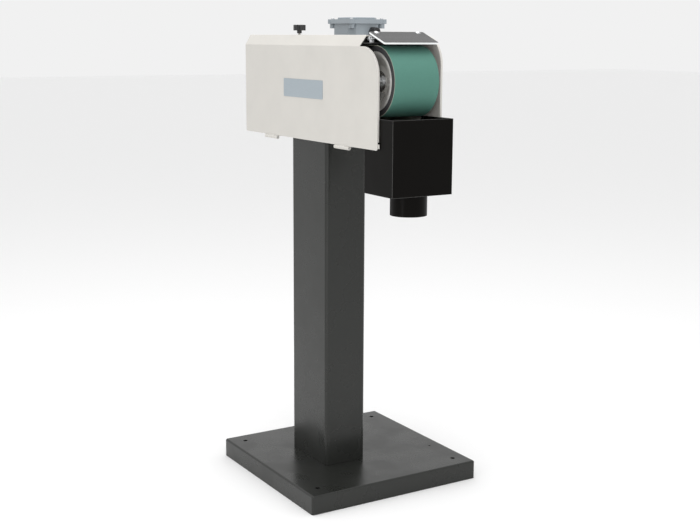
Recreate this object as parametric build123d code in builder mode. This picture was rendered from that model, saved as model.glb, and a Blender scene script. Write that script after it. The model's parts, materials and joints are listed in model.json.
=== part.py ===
from build123d import *
import os
from math import cos, pi, radians, sin

# Pedestal belt grinder with two wheels, a bottom-hinged belt cover and a spark box.
# Millimetres. +Z is up, +X points at the operator, and -Y is the side with the hinged cover.
# The origin is the centre of the base's underside.

os.makedirs("parts", exist_ok=True)

# ---------------------------------------------------------------- driving dimensions
# Base tray and column
base_side = 490
base_height = 48
base_sheet = 4
base_edge_radius = 6
floor_hole_spacing_x = 400
floor_hole_spacing_y = 410
floor_hole_radius = 6
earth_hole_radius = 3
earth_hole_x = 90
earth_hole_y = 208
column_x = -7
column_size_x = 180
column_size_y = 116
column_wall = 4
column_corner_radius = 10
column_top = 880
column_plate = 8
column_bolt_x = 60
column_bolt_y = 32

# Fasteners
m10_radius = 5
m10_hole_radius = 5.5
m10_flats = 16
m10_head = 6.4
m10_nut = 8.4
m8_radius = 4
m8_flats = 13
m8_head = 5.3
m8_nut = 6.5
m6_radius = 3
m6_head_radius = 5
m6_head = 3.5
m6_nut = 5
m6_clearance = 0.25
thread_gap = 0.1

# Head: sheets and outlines
head_y = -54.5
cover_face_y = -138.5
cover_sheet = 1.5
cover_left = -305.5
cover_right = 353
cover_bottom = 888
cover_bend_z = 1118.5
cover_top = 1144
cover_bevel_depth = 15
cover_flange_y = -90
cover_lip = 4.9
cover_bevel_right = 274
cover_bevel_top_right = 282
cover_low_radius = 5
head_corner_radius = 66
back_plate_y = 25
back_plate_sheet = 5
back_plate_right = 364
floor_z = 888
floor_sheet = 4
floor_front_y = -131.4
floor_right = 290
floor_flange_depth = 28
wrap_sheet = 2
wrap_left = -303
wrap_top = 1141
wrap_front_y = -130

# Wheels and belt
wheel_radius = 80
wheel_x = 305
wheel_z = 1040
wheel_near_y = -114.5
wheel_far_y = 5.5
tyre_thickness = 12
belt_length = 1500
belt_thickness = 0.9
belt_gap = 0.3
axle_radius = 10
running_gap = 0.05
bearing_radius = 23.5
bearing_width = 14

# Motor
motor_shaft_radius = 12
motor_frame_radius = 80
motor_fin_height = 6
motor_fin_count = 36
motor_front_y = 30
motor_frame_start = 48
motor_frame_end = 214
motor_rear_end = 228
motor_cowl_end = 290
motor_flange_radius = 80
motor_flange_bolt_radius = 65
terminal_y = 142
terminal_top = 1191

# Spark box
box_left = 290
box_right = 408
box_near_y = -133
box_far_y = 31
box_bottom = 785
box_top = 958.5
box_back_wall_top = 945
box_sheet = 2
spigot_x = 358
spigot_radius = 43
spigot_length = 48
spigot_wall = 1.5

# Hinges of the cover
hinge_axis_y = -137.7
hinge_axis_z = 883.2
hinge_barrel_radius = 4.5
hinge_pin_radius = 2
hinge_leaf_gap = 1.2
hinge_length = 65
hinge_knuckle_gap = 0.4
hinge_centres_x = (-158, 199)

# Eye shield
shield_tilt = 20
shield_width = 147
shield_depth = 70
shield_thickness = 4
shield_rod_x = 299
shield_rod_z = 1137
shield_rod_radius = 3
shield_eye_radius = 6.5
shield_strip_height = 7
shield_strip = 2

# Star knob
knob_x = -62
knob_y = -108
knob_gap = 3.6
knob_lobes = 5
knob_hub_radius = 6
knob_hub_height = 7
knob_core_radius = 11
knob_lobe_circle = 10.6
knob_lobe_radius = 5.4
knob_head_height = 14

# ---------------------------------------------------------------- derived places
base_inner_top = base_height - base_sheet
back_plate_out = back_plate_y + back_plate_sheet
floor_top = floor_z + floor_sheet
belt_mid_radius = wheel_radius + belt_gap + belt_thickness / 2
wheel_distance = (belt_length - 2 * pi * belt_mid_radius) / 2
drive_x = wheel_x - wheel_distance
wheel_width = wheel_far_y - wheel_near_y
hub_radius = wheel_radius - tyre_thickness
knob_bottom = cover_top + knob_gap
knob_top = knob_bottom + knob_hub_height + knob_head_height
stud_top = knob_top - 6


def at_y(y):
    """The plane across the machine at y. Its local x and y are X and Z; extruding goes to -Y."""
    return Plane.XZ.offset(-y)


# ================================================================ stand
with BuildPart() as base_tray:
    with BuildSketch():
        Rectangle(base_side, base_side)
    extrude(amount=base_height)
    fillet(base_tray.edges().filter_by(Axis.Z), base_edge_radius)
    fillet(base_tray.faces().sort_by(Axis.Z)[-1].edges(), base_edge_radius - 1)
    offset(amount=-base_sheet, openings=base_tray.faces().sort_by(Axis.Z)[0])
    with BuildSketch(Plane.XY.offset(base_height)):
        with GridLocations(floor_hole_spacing_x, floor_hole_spacing_y, 2, 2):
            Circle(floor_hole_radius)
        with Locations((column_x, head_y)):
            with GridLocations(2 * column_bolt_x, 2 * column_bolt_y, 2, 2):
                Circle(m10_hole_radius)
        with Locations((earth_hole_x, earth_hole_y)):
            Circle(earth_hole_radius)
    extrude(amount=-2 * base_sheet, mode=Mode.SUBTRACT)
base_tray.part.label = "base_tray"
export_step(base_tray.part, "parts/base_tray.step")

# Two channels under the tray spread the column's load; their webs carry the column bolts.
channel_width = 44
channel_depth = 34
channel_sheet = 4
channel_length = base_side - 2 * base_sheet - 12
with BuildPart() as base_channels:
    with BuildSketch(Plane.XZ.offset(-channel_length / 2)):
        for side in (-1, 1):
            with Locations((column_x + side * column_bolt_x, base_inner_top)):
                Rectangle(channel_width, channel_depth, align=(Align.CENTER, Align.MAX))
            with Locations((column_x + side * column_bolt_x, base_inner_top - channel_sheet)):
                Rectangle(
                    channel_width - 2 * channel_sheet,
                    channel_depth,
                    align=(Align.CENTER, Align.MAX),
                    mode=Mode.SUBTRACT,
                )
    extrude(amount=channel_length)
    with BuildSketch(Plane.XY.offset(base_inner_top)):
        with Locations((column_x, head_y)):
            with GridLocations(2 * column_bolt_x, 2 * column_bolt_y, 2, 2):
                Circle(m10_hole_radius)
    extrude(amount=-channel_sheet, mode=Mode.SUBTRACT)
base_channels.part.label = "base_channels"
export_step(base_channels.part, "parts/base_channels.step")

with BuildPart() as column:
    with BuildSketch(Plane.XY.offset(base_height)):
        with Locations((column_x, head_y)):
            RectangleRounded(column_size_x, column_size_y, column_corner_radius)
            RectangleRounded(
                column_size_x - 2 * column_wall,
                column_size_y - 2 * column_wall,
                column_corner_radius - column_wall,
                mode=Mode.SUBTRACT,
            )
    extrude(amount=column_top - base_height)
column.part.label = "column"
export_step(column.part, "parts/column.step")

# One plate is welded inside the tube's foot, the other on its top.
with BuildPart() as column_end_plates:
    with BuildSketch(Plane.XY.offset(base_height)):
        with Locations((column_x, head_y)):
            RectangleRounded(
                column_size_x - 2 * column_wall,
                column_size_y - 2 * column_wall,
                column_corner_radius - column_wall,
            )
            with GridLocations(2 * column_bolt_x, 2 * column_bolt_y, 2, 2):
                Circle(m10_hole_radius, mode=Mode.SUBTRACT)
    extrude(amount=column_plate)
    with BuildSketch(Plane.XY.offset(column_top)):
        with Locations((column_x, head_y)):
            RectangleRounded(column_size_x, column_size_y, column_corner_radius)
            with GridLocations(2 * column_bolt_x, 2 * column_bolt_y, 2, 2):
                Circle(m10_hole_radius, mode=Mode.SUBTRACT)
    extrude(amount=floor_z - column_top)
column_end_plates.part.label = "column_end_plates"
export_step(column_end_plates.part, "parts/column_end_plates.step")

# ================================================================ head: fixed sheets
box_bolt_z = 873
box_bolt_spacing = 120
motor_spigot_radius = 55
axle_block_x = 290
axle_block_width = 90
axle_block_height = 60
axle_block_thickness = 14
axle_block_bolt_x = 35
axle_block_bolt_z = 20
arm_pivot_x = 95
arm_pivot_z = 1046
arm_pivot_radius = 8
switch_x = 130
switch_z = 950
switch_width = 74
switch_height = 116
switch_depth = 46
switch_wall = 3
switch_screw_spacing = 80

with BuildPart() as back_plate:
    with BuildSketch(at_y(back_plate_out)):
        with BuildLine():
            Polyline(
                (wrap_left, floor_z),
                (box_left, floor_z),
                (box_left, box_top),
                (back_plate_right, box_top),
                (back_plate_right, cover_top),
                (wrap_left, cover_top),
                close=True,
            )
        make_face()
        corner = vertices().sort_by(Axis.X)[-2:].sort_by(Axis.Y)[-1]
        fillet(corner, head_corner_radius)
        with Locations((drive_x, wheel_z)):
            Circle(motor_spigot_radius, mode=Mode.SUBTRACT)
            with PolarLocations(motor_flange_bolt_radius, 4, start_angle=45):
                Circle(m8_radius + 0.5, mode=Mode.SUBTRACT)
        with Locations((wheel_x, wheel_z)):
            Circle(axle_radius + 4, mode=Mode.SUBTRACT)
        with Locations((axle_block_x, wheel_z)):
            with GridLocations(2 * axle_block_bolt_x, 2 * axle_block_bolt_z, 2, 2):
                Circle(m8_radius + 0.5, mode=Mode.SUBTRACT)
        with Locations((arm_pivot_x, arm_pivot_z)):
            Circle(arm_pivot_radius, mode=Mode.SUBTRACT)
        with Locations((switch_x, switch_z)):
            with GridLocations(1, switch_screw_spacing, 1, 2):
                Circle(m6_radius + m6_clearance, mode=Mode.SUBTRACT)
    extrude(amount=back_plate_sheet)
back_plate.part.label = "back_plate"
export_step(back_plate.part, "parts/back_plate.step")

with BuildPart() as head_floor:
    with BuildSketch(Plane.XY.offset(floor_z)):
        with BuildLine():
            Polyline(
                (wrap_left, floor_front_y),
                (floor_right, floor_front_y),
                (floor_right, back_plate_y),
                (wrap_left, back_plate_y),
                close=True,
            )
        make_face()
        with Locations((column_x, head_y)):
            with GridLocations(2 * column_bolt_x, 2 * column_bolt_y, 2, 2):
                Circle(m10_hole_radius, mode=Mode.SUBTRACT)
    extrude(amount=floor_sheet)
    with BuildSketch(Plane.YZ.offset(floor_right)):
        with Locations((head_y, floor_z)):
            Rectangle(
                back_plate_y - floor_front_y - 8,
                floor_flange_depth,
                align=(Align.CENTER, Align.MAX),
            )
        with Locations((head_y, box_bolt_z)):
            with GridLocations(box_bolt_spacing, 1, 2, 1):
                Circle(m6_radius + m6_clearance, mode=Mode.SUBTRACT)
    extrude(amount=-floor_sheet)
head_floor.part.label = "head_floor"
export_step(head_floor.part, "parts/head_floor.step")

with BuildPart() as head_wrap:
    with BuildSketch(at_y(back_plate_y)):
        with BuildLine():
            path = FilletPolyline(
                (wrap_left, floor_top),
                (wrap_left, wrap_top),
                (cover_bevel_right - 2, wrap_top),
                radius=6,
            )
            offset(path, amount=wrap_sheet, side=Side.RIGHT)
        make_face()
    extrude(amount=back_plate_y - wrap_front_y)
    # The cover's bevel cuts across the top front corner.
    with BuildSketch(Plane.YZ.offset(wrap_left - 1)):
        with BuildLine():
            Polyline(
                (wrap_front_y - 1, cover_bend_z - 4),
                (wrap_front_y + 14, wrap_top + 1),
                (wrap_front_y - 1, wrap_top + 1),
                close=True,
            )
        make_face()
    extrude(amount=cover_right - wrap_left, mode=Mode.SUBTRACT)
    # The star knob's stud and its foot are welded on.
    with BuildSketch(Plane.XY.offset(wrap_top)):
        with Locations((knob_x, knob_y)):
            Circle(6)
    extrude(amount=1)
    with BuildSketch(Plane.XY.offset(wrap_top)):
        with Locations((knob_x, knob_y)):
            Circle(m6_radius)
    extrude(amount=stud_top - wrap_top)
head_wrap.part.label = "head_wrap"
export_step(head_wrap.part, "parts/head_wrap.step")

# The hinge rail's upright leg backs the cover's bottom edge and shows past its right end.
rail_sheet = 2
rail_top = 902
rail_front_y = -136.5
rail_right = 357
with BuildPart() as hinge_rail:
    with BuildSketch(Plane.YZ.offset(wrap_left + 3)):
        with Locations((rail_front_y, floor_top)):
            Rectangle(rail_sheet, rail_top - floor_top, align=Align.MIN)
            Rectangle(26, rail_sheet, align=Align.MIN)
    extrude(amount=floor_right - 4 - wrap_left - 3)
    with BuildSketch(Plane.YZ.offset(floor_right - 4)):
        with Locations((rail_front_y, floor_top)):
            Rectangle(rail_sheet, rail_top - floor_top, align=Align.MIN)
    extrude(amount=rail_right - floor_right + 4)
hinge_rail.part.label = "hinge_rail"
export_step(hinge_rail.part, "parts/hinge_rail.step")

# ================================================================ side cover and hinges
with BuildPart() as side_cover:
    with BuildSketch(Plane.YZ.offset(cover_left)):
        with BuildLine():
            section = FilletPolyline(
                (cover_face_y, cover_bottom),
                (cover_face_y, cover_bend_z),
                (cover_face_y + cover_bevel_depth, cover_top),
                (cover_flange_y, cover_top),
                radius=2.5,
            )
            offset(section, amount=cover_sheet, side=Side.RIGHT)
        make_face()
    extrude(amount=cover_bevel_top_right - cover_left)
    # The bevel's right end slants up to the right.
    with BuildSketch(at_y(cover_flange_y + 1)):
        with BuildLine():
            Polyline(
                (cover_bevel_right, cover_bend_z),
                (cover_bevel_top_right + 1, cover_bend_z),
                (cover_bevel_top_right + 1, cover_top + 1),
                (cover_bevel_top_right, cover_top + 1),
                close=True,
            )
        make_face()
    extrude(amount=cover_flange_y - cover_face_y + 2, mode=Mode.SUBTRACT)
    with BuildSketch(at_y(cover_face_y + cover_sheet)):
        with BuildLine():
            Polyline(
                (cover_bevel_right - 20, cover_bottom),
                (cover_right, cover_bottom),
                (cover_right, cover_bend_z),
                (cover_bevel_right - 20, cover_bend_z),
                close=True,
            )
        make_face()
        rim = vertices().sort_by(Axis.X)[-2:].sort_by(Axis.Y)[-1]
        fillet(rim, head_corner_radius)
    extrude(amount=cover_sheet)
    # Lip folded inwards along the right edge and round the corner.
    with BuildSketch(at_y(cover_face_y + cover_lip)):
        with BuildLine():
            edge = Polyline((cover_right, rail_top + 4), (cover_right, cover_bend_z - head_corner_radius))
            JernArc(start=edge @ 1, tangent=edge % 1, radius=head_corner_radius, arc_size=90)
            offset(amount=cover_sheet, side=Side.LEFT)
        make_face()
    extrude(amount=cover_lip - cover_sheet)
    # Round lower corners.
    low_edges = side_cover.edges().filter_by(Axis.Y).group_by(Axis.Z)[0]
    fillet(low_edges, cover_low_radius)
    # Open slot for the knob's stud.
    with BuildSketch(Plane.XY.offset(cover_top + 1)):
        with Locations((knob_x, knob_y)):
            Circle(4)
            Rectangle(8, cover_flange_y - knob_y + 1, align=(Align.CENTER, Align.MIN))
    extrude(amount=-4, mode=Mode.SUBTRACT)
side_cover.part.label = "side_cover"
export_step(side_cover.part, "parts/side_cover.step")

# The cover's knuckle turns on the pin between two fixed knuckles.
cover_knuckle = hinge_length / 3 - hinge_knuckle_gap
side_knuckle = hinge_length / 3
leaf_sheet = 2
leaf_depth = 32


def across(x, y, z):
    """A plane square to X at the given point. Its local x and y are Y and Z."""
    return Plane(origin=(x, y, z), x_dir=(0, 1, 0), z_dir=(1, 0, 0))


with BuildPart() as hinge_leaves:
    for centre in hinge_centres_x:
        for start in (centre - hinge_length / 2, centre + hinge_length / 2 - side_knuckle):
            with BuildSketch(across(start, hinge_axis_y, hinge_axis_z)):
                Circle(hinge_barrel_radius)
                with Locations((hinge_leaf_gap, floor_z - hinge_axis_z)):
                    Rectangle(leaf_depth, leaf_sheet, align=(Align.MIN, Align.MAX))
                Circle(hinge_pin_radius, mode=Mode.SUBTRACT)
            extrude(amount=side_knuckle)
        with BuildSketch(across(centre - hinge_length / 2, floor_front_y, floor_z)):
            Rectangle(leaf_depth - 7, leaf_sheet, align=(Align.MIN, Align.MAX))
        extrude(amount=hinge_length)
hinge_leaves.part.label = "hinge_leaves"
export_step(hinge_leaves.part, "parts/hinge_leaves.step")

with BuildPart() as hinge_knuckles:
    for centre in hinge_centres_x:
        with BuildSketch(across(centre - cover_knuckle / 2, hinge_axis_y, hinge_axis_z)):
            Circle(hinge_barrel_radius)
            with Locations((cover_face_y - hinge_axis_y, 0)):
                Rectangle(cover_sheet, cover_bottom - hinge_axis_z, align=Align.MIN)
            Circle(hinge_pin_radius + running_gap, mode=Mode.SUBTRACT)
        extrude(amount=cover_knuckle)
hinge_knuckles.part.label = "hinge_knuckles"
export_step(hinge_knuckles.part, "parts/hinge_knuckles.step")

with BuildPart() as hinge_pins:
    for centre in hinge_centres_x:
        with BuildSketch(across(centre - hinge_length / 2, hinge_axis_y, hinge_axis_z)):
            Circle(hinge_pin_radius)
        extrude(amount=hinge_length)
hinge_pins.part.label = "hinge_pins"
export_step(hinge_pins.part, "parts/hinge_pins.step")

badge_width = 197
badge_height = 45
badge_x = 10
badge_z = 1013.5
badge_sheet = 0.8
with BuildPart() as badge_plate:
    with BuildSketch(at_y(cover_face_y)):
        with Locations((badge_x, badge_z)):
            RectangleRounded(badge_width, badge_height, 3)
    extrude(amount=badge_sheet)
badge_plate.part.label = "badge_plate"
export_step(badge_plate.part, "parts/badge_plate.step")

# Star knob: it stands slack by knob_gap, so that the cover's flange can slide out from under it.
with BuildPart() as star_knob:
    with BuildSketch(Plane.XY.offset(knob_bottom)):
        with Locations((knob_x, knob_y)):
            Circle(knob_hub_radius)
    extrude(amount=knob_hub_height)
    with BuildSketch(Plane.XY.offset(knob_bottom + knob_hub_height)):
        with Locations((knob_x, knob_y)):
            Circle(knob_core_radius)
            with PolarLocations(knob_lobe_circle, knob_lobes):
                Circle(knob_lobe_radius)
    extrude(amount=knob_head_height)
    fillet(star_knob.faces().sort_by(Axis.Z)[-1].edges(), 1.5)
    with BuildSketch(Plane.XY.offset(knob_bottom)):
        with Locations((knob_x, knob_y)):
            Circle(m6_radius + running_gap)
    extrude(amount=stud_top + 1 - knob_bottom, mode=Mode.SUBTRACT)
    with BuildSketch(Plane.XY.offset(knob_top)):
        with Locations((knob_x, knob_y)):
            Circle(6)
    extrude(amount=-1.5, mode=Mode.SUBTRACT)
star_knob.part.label = "star_knob"
export_step(star_knob.part, "parts/star_knob.step")

with BuildPart() as knob_cap:
    with BuildSketch(Plane.XY.offset(knob_top - 1.5)):
        with Locations((knob_x, knob_y)):
            Circle(5.9)
    extrude(amount=2.3)
    fillet(knob_cap.faces().sort_by(Axis.Z)[-1].edges(), 0.7)
knob_cap.part.label = "knob_cap"
export_step(knob_cap.part, "parts/knob_cap.step")

# ================================================================ contact wheel
boss_radius = 31
boss_near_y = -101
boss_far_y = -11
bearing_lip_radius = 20
rim_inner_radius = 60
dish_radius = 36
web_far_y = -88
web_rim_y = -102
wheel_face_y = wheel_near_y + 0.5


def turning_plane(x, z):
    """Plane for a profile turned about the Y line through x, z: local x is Y, local y the radius."""
    return Plane(origin=(x, 0, z), x_dir=(0, 1, 0), z_dir=(1, 0, 0))


def turning_axis(x, z):
    """The Y line through x, z."""
    return Axis((x, 0, z), (0, 1, 0))


with BuildPart() as contact_wheel_hub:
    with BuildSketch(turning_plane(wheel_x, wheel_z)):
        with BuildLine():
            Polyline(
                (wheel_face_y, hub_radius),
                (wheel_face_y, rim_inner_radius + 2),
                (boss_near_y, dish_radius),
                (boss_near_y, bearing_radius),
                (boss_near_y + bearing_width + 1, bearing_radius),
                (boss_near_y + bearing_width + 1, bearing_lip_radius),
                (boss_far_y - bearing_width - 1, bearing_lip_radius),
                (boss_far_y - bearing_width - 1, bearing_radius),
                (boss_far_y, bearing_radius),
                (boss_far_y, boss_radius),
                (web_far_y, boss_radius),
                (web_rim_y, rim_inner_radius),
                (wheel_far_y - 0.5, rim_inner_radius),
                (wheel_far_y - 0.5, hub_radius),
                close=True,
            )
        make_face()
    revolve(axis=turning_axis(wheel_x, wheel_z))
contact_wheel_hub.part.label = "contact_wheel_hub"
export_step(contact_wheel_hub.part, "parts/contact_wheel_hub.step")

with BuildPart() as contact_wheel_tyre:
    with BuildSketch(at_y(wheel_far_y)):
        with Locations((wheel_x, wheel_z)):
            Circle(wheel_radius)
            Circle(hub_radius, mode=Mode.SUBTRACT)
    extrude(amount=wheel_width)
    chamfer(contact_wheel_tyre.edges().filter_by(GeomType.CIRCLE).group_by(SortBy.RADIUS)[-1], 1)
contact_wheel_tyre.part.label = "contact_wheel_tyre"
export_step(contact_wheel_tyre.part, "parts/contact_wheel_tyre.step")

with BuildPart() as contact_wheel_bearings:
    for far_side in (boss_near_y + 1 + bearing_width, boss_far_y - 1):
        with BuildSketch(at_y(far_side)):
            with Locations((wheel_x, wheel_z)):
                Circle(bearing_radius)
                Circle(axle_radius + running_gap, mode=Mode.SUBTRACT)
        extrude(amount=bearing_width)
contact_wheel_bearings.part.label = "contact_wheel_bearings"
export_step(contact_wheel_bearings.part, "parts/contact_wheel_bearings.step")

axle_near_y = boss_near_y + 0.5
axle_stud_radius = 6
spacer_radius = 13.5
axle_washer = 2.5
axle_nut = 8
block_outer_y = back_plate_out + axle_block_thickness
with BuildPart() as contact_wheel_axle:
    with BuildSketch(at_y(block_outer_y)):
        with Locations((wheel_x, wheel_z)):
            Circle(axle_radius)
    extrude(amount=block_outer_y - axle_near_y)
    with BuildSketch(at_y(axle_near_y)):
        with Locations((wheel_x, wheel_z)):
            Circle(axle_stud_radius)
    extrude(amount=axle_washer + axle_nut + 2)
    with BuildSketch(at_y(block_outer_y)):
        with Locations((wheel_x, wheel_z)):
            Circle(axle_stud_radius)
    extrude(amount=-(axle_washer + axle_nut + 2))
contact_wheel_axle.part.label = "contact_wheel_axle"
export_step(contact_wheel_axle.part, "parts/contact_wheel_axle.step")

# One spacer holds the bearings apart, the other holds the wheel off the axle block.
with BuildPart() as axle_spacers:
    for low, high in (
        (boss_near_y + bearing_width + 1.3, boss_far_y - bearing_width - 1.3),
        (boss_far_y - 0.7, back_plate_out),
    ):
        with BuildSketch(at_y(high)):
            with Locations((wheel_x, wheel_z)):
                Circle(spacer_radius)
                Circle(axle_radius + running_gap, mode=Mode.SUBTRACT)
        extrude(amount=high - low)
axle_spacers.part.label = "axle_spacers"
export_step(axle_spacers.part, "parts/axle_spacers.step")

tracking_screw_radius = 4
tracking_x = wheel_x - 37
with BuildPart() as axle_block:
    with BuildSketch(at_y(block_outer_y)):
        with Locations((axle_block_x, wheel_z)):
            RectangleRounded(axle_block_width, axle_block_height, 10)
            with GridLocations(2 * axle_block_bolt_x, 2 * axle_block_bolt_z, 2, 2):
                Circle(m8_radius + 0.5, mode=Mode.SUBTRACT)
        with Locations((wheel_x, wheel_z)):
            Circle(axle_radius, mode=Mode.SUBTRACT)
        with Locations((tracking_x, wheel_z)):
            Circle(tracking_screw_radius, mode=Mode.SUBTRACT)
    extrude(amount=axle_block_thickness)
    fillet(axle_block.faces().sort_by(Axis.Y)[-1].outer_wire().edges(), 3)
axle_block.part.label = "axle_block"
export_step(axle_block.part, "parts/axle_block.step")

tracking_knob_y = block_outer_y + 10
tracking_knob_width = 16
tracking_knob_radius = 13
with BuildPart() as tracking_knob:
    with BuildSketch(at_y(tracking_knob_y + tracking_knob_width)):
        with Locations((tracking_x, wheel_z)):
            Circle(tracking_knob_radius)
            with PolarLocations(tracking_knob_radius, 7):
                Circle(3.6)
    extrude(amount=tracking_knob_width)
    fillet(tracking_knob.faces().sort_by(Axis.Y)[-1].edges(), 1.5)
    with BuildSketch(at_y(tracking_knob_y)):
        with Locations((tracking_x, wheel_z)):
            Circle(tracking_screw_radius - running_gap)
    extrude(amount=tracking_knob_y - back_plate_out - 0.3)
tracking_knob.part.label = "tracking_knob"
export_step(tracking_knob.part, "parts/tracking_knob.step")

with BuildPart() as abrasive_belt:
    with BuildSketch(at_y(wheel_far_y)):
        with Locations(((wheel_x + drive_x) / 2, wheel_z)):
            SlotCenterToCenter(wheel_distance, 2 * (wheel_radius + belt_gap + belt_thickness))
            SlotCenterToCenter(wheel_distance, 2 * (wheel_radius + belt_gap), mode=Mode.SUBTRACT)
    extrude(amount=wheel_width)
abrasive_belt.part.label = "abrasive_belt"
export_step(abrasive_belt.part, "parts/abrasive_belt.step")

# ================================================================ drive wheel and rotor
drive_boss_near = -78
drive_boss_far = 0
drive_boss_radius = 24
drive_web_near_y = -45
drive_web_far_y = -31
drive_window_circle = 45
drive_window_radius = 13
drive_windows = 5
shaft_end_y = -80
keyway_start_y = -20
keyway_length = 50
key_width = 8
key_height = 7
key_depth = 4
with BuildPart() as drive_wheel:
    with BuildSketch(turning_plane(drive_x, wheel_z)):
        with BuildLine():
            Polyline(
                (wheel_near_y, wheel_radius),
                (wheel_near_y, hub_radius),
                (drive_web_near_y - 2, hub_radius - 2),
                (drive_web_near_y, drive_boss_radius + 1),
                (drive_boss_near, drive_boss_radius),
                (drive_boss_near, motor_shaft_radius),
                (drive_boss_far, motor_shaft_radius),
                (drive_boss_far, drive_boss_radius),
                (drive_web_far_y, drive_boss_radius + 1),
                (drive_web_far_y + 2, hub_radius - 2),
                (wheel_far_y, hub_radius),
                (wheel_far_y, wheel_radius),
                close=True,
            )
        make_face()
    revolve(axis=turning_axis(drive_x, wheel_z))
    with BuildSketch(at_y(drive_boss_far)):
        with Locations((drive_x, wheel_z)):
            with PolarLocations(drive_window_circle, drive_windows):
                Circle(drive_window_radius)
    extrude(amount=drive_boss_far - drive_boss_near, mode=Mode.SUBTRACT)
    with BuildSketch(at_y(drive_boss_far)):
        with Locations((drive_x, wheel_z + motor_shaft_radius - key_depth)):
            Rectangle(key_width, key_height, align=(Align.CENTER, Align.MIN))
    extrude(amount=drive_boss_far - drive_boss_near, mode=Mode.SUBTRACT)
drive_wheel.part.label = "drive_wheel"
export_step(drive_wheel.part, "parts/drive_wheel.step")

rotor_end_y = 262
with BuildPart() as rotor_shaft:
    with BuildSketch(at_y(rotor_end_y)):
        with Locations((drive_x, wheel_z)):
            Circle(motor_shaft_radius)
    extrude(amount=rotor_end_y - shaft_end_y)
    chamfer(rotor_shaft.edges().filter_by(GeomType.CIRCLE), 1)
    with BuildSketch(at_y(keyway_start_y)):
        with Locations((drive_x, wheel_z + motor_shaft_radius - key_depth)):
            Rectangle(key_width, key_height, align=(Align.CENTER, Align.MIN))
    extrude(amount=keyway_length, mode=Mode.SUBTRACT)
    with BuildSketch(at_y(shaft_end_y)):
        with Locations((drive_x, wheel_z)):
            Circle(m8_radius)
    extrude(amount=-16, mode=Mode.SUBTRACT)
rotor_shaft.part.label = "rotor_shaft"
export_step(rotor_shaft.part, "parts/rotor_shaft.step")

with BuildPart() as drive_key:
    with BuildSketch(at_y(keyway_start_y)):
        with Locations((drive_x, wheel_z + motor_shaft_radius - key_depth)):
            Rectangle(key_width, key_height, align=(Align.CENTER, Align.MIN))
    extrude(amount=keyway_length)
drive_key.part.label = "drive_key"
export_step(drive_key.part, "parts/drive_key.step")

with BuildPart() as drive_wheel_screw:
    with BuildSketch(at_y(shaft_end_y)):
        with Locations((drive_x, wheel_z)):
            Circle(motor_shaft_radius + 7)
    extrude(amount=4)
    with BuildSketch(at_y(shaft_end_y - 4)):
        with Locations((drive_x, wheel_z)):
            RegularPolygon(m8_flats / 2, 6, major_radius=False)
    extrude(amount=m8_head)
    with BuildSketch(at_y(shaft_end_y)):
        with Locations((drive_x, wheel_z)):
            Circle(m8_radius - running_gap)
    extrude(amount=-14)
drive_wheel_screw.part.label = "drive_wheel_screw"
export_step(drive_wheel_screw.part, "parts/drive_wheel_screw.step")

rotor_radius = 44
core_start = 82
core_end = 178
with BuildPart() as rotor_core:
    with BuildSketch(at_y(core_end)):
        with Locations((drive_x, wheel_z)):
            Circle(rotor_radius)
            Circle(motor_shaft_radius, mode=Mode.SUBTRACT)
    extrude(amount=core_end - core_start)
rotor_core.part.label = "rotor_core"
export_step(rotor_core.part, "parts/rotor_core.step")

fan_start = 238
fan_width = 22
fan_blades = 7
fan_hub_radius = 20
fan_blade_start = 16
fan_blade_length = 48
fan_disc_radius = 62
with BuildPart() as cooling_fan:
    with BuildSketch(at_y(fan_start + fan_width)):
        with Locations((drive_x, wheel_z)):
            Circle(fan_hub_radius)
            with PolarLocations(fan_blade_start, fan_blades):
                Rectangle(fan_blade_length, 3, align=(Align.MIN, Align.CENTER))
            Circle(motor_shaft_radius, mode=Mode.SUBTRACT)
    extrude(amount=fan_width)
    with BuildSketch(at_y(fan_start + 2)):
        with Locations((drive_x, wheel_z)):
            Circle(fan_disc_radius)
            Circle(motor_shaft_radius, mode=Mode.SUBTRACT)
    extrude(amount=2)
cooling_fan.part.label = "cooling_fan"
export_step(cooling_fan.part, "parts/cooling_fan.step")

# ================================================================ motor
motor_bore = 70
motor_bearing_radius = 26
motor_bearing_width = 15
shaft_hole_radius = 14
pad_top = 1132
pad_x = 92
pad_y = 88
with BuildPart() as motor_frame:
    with BuildSketch(at_y(motor_frame_end)):
        with Locations((drive_x, wheel_z)):
            Circle(motor_frame_radius)
            with PolarLocations(motor_frame_radius - 2, motor_fin_count):
                Rectangle(motor_fin_height + 2, 3, align=(Align.MIN, Align.CENTER))
            Circle(motor_bore, mode=Mode.SUBTRACT)
    extrude(amount=motor_frame_end - motor_frame_start)
    with BuildSketch(Plane.XY.offset(pad_top)):
        with Locations((drive_x, terminal_y)):
            Rectangle(pad_x, pad_y)
    extrude(amount=-(pad_top - wheel_z - motor_bore - 4))
motor_frame.part.label = "motor_frame"
export_step(motor_frame.part, "parts/motor_frame.step")

with BuildPart() as motor_stator:
    with BuildSketch(at_y(core_end)):
        with Locations((drive_x, wheel_z)):
            Circle(motor_bore)
            Circle(rotor_radius + 0.5, mode=Mode.SUBTRACT)
    extrude(amount=core_end - core_start)
motor_stator.part.label = "motor_stator"
export_step(motor_stator.part, "parts/motor_stator.step")

rear_seat_y = 208
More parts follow.
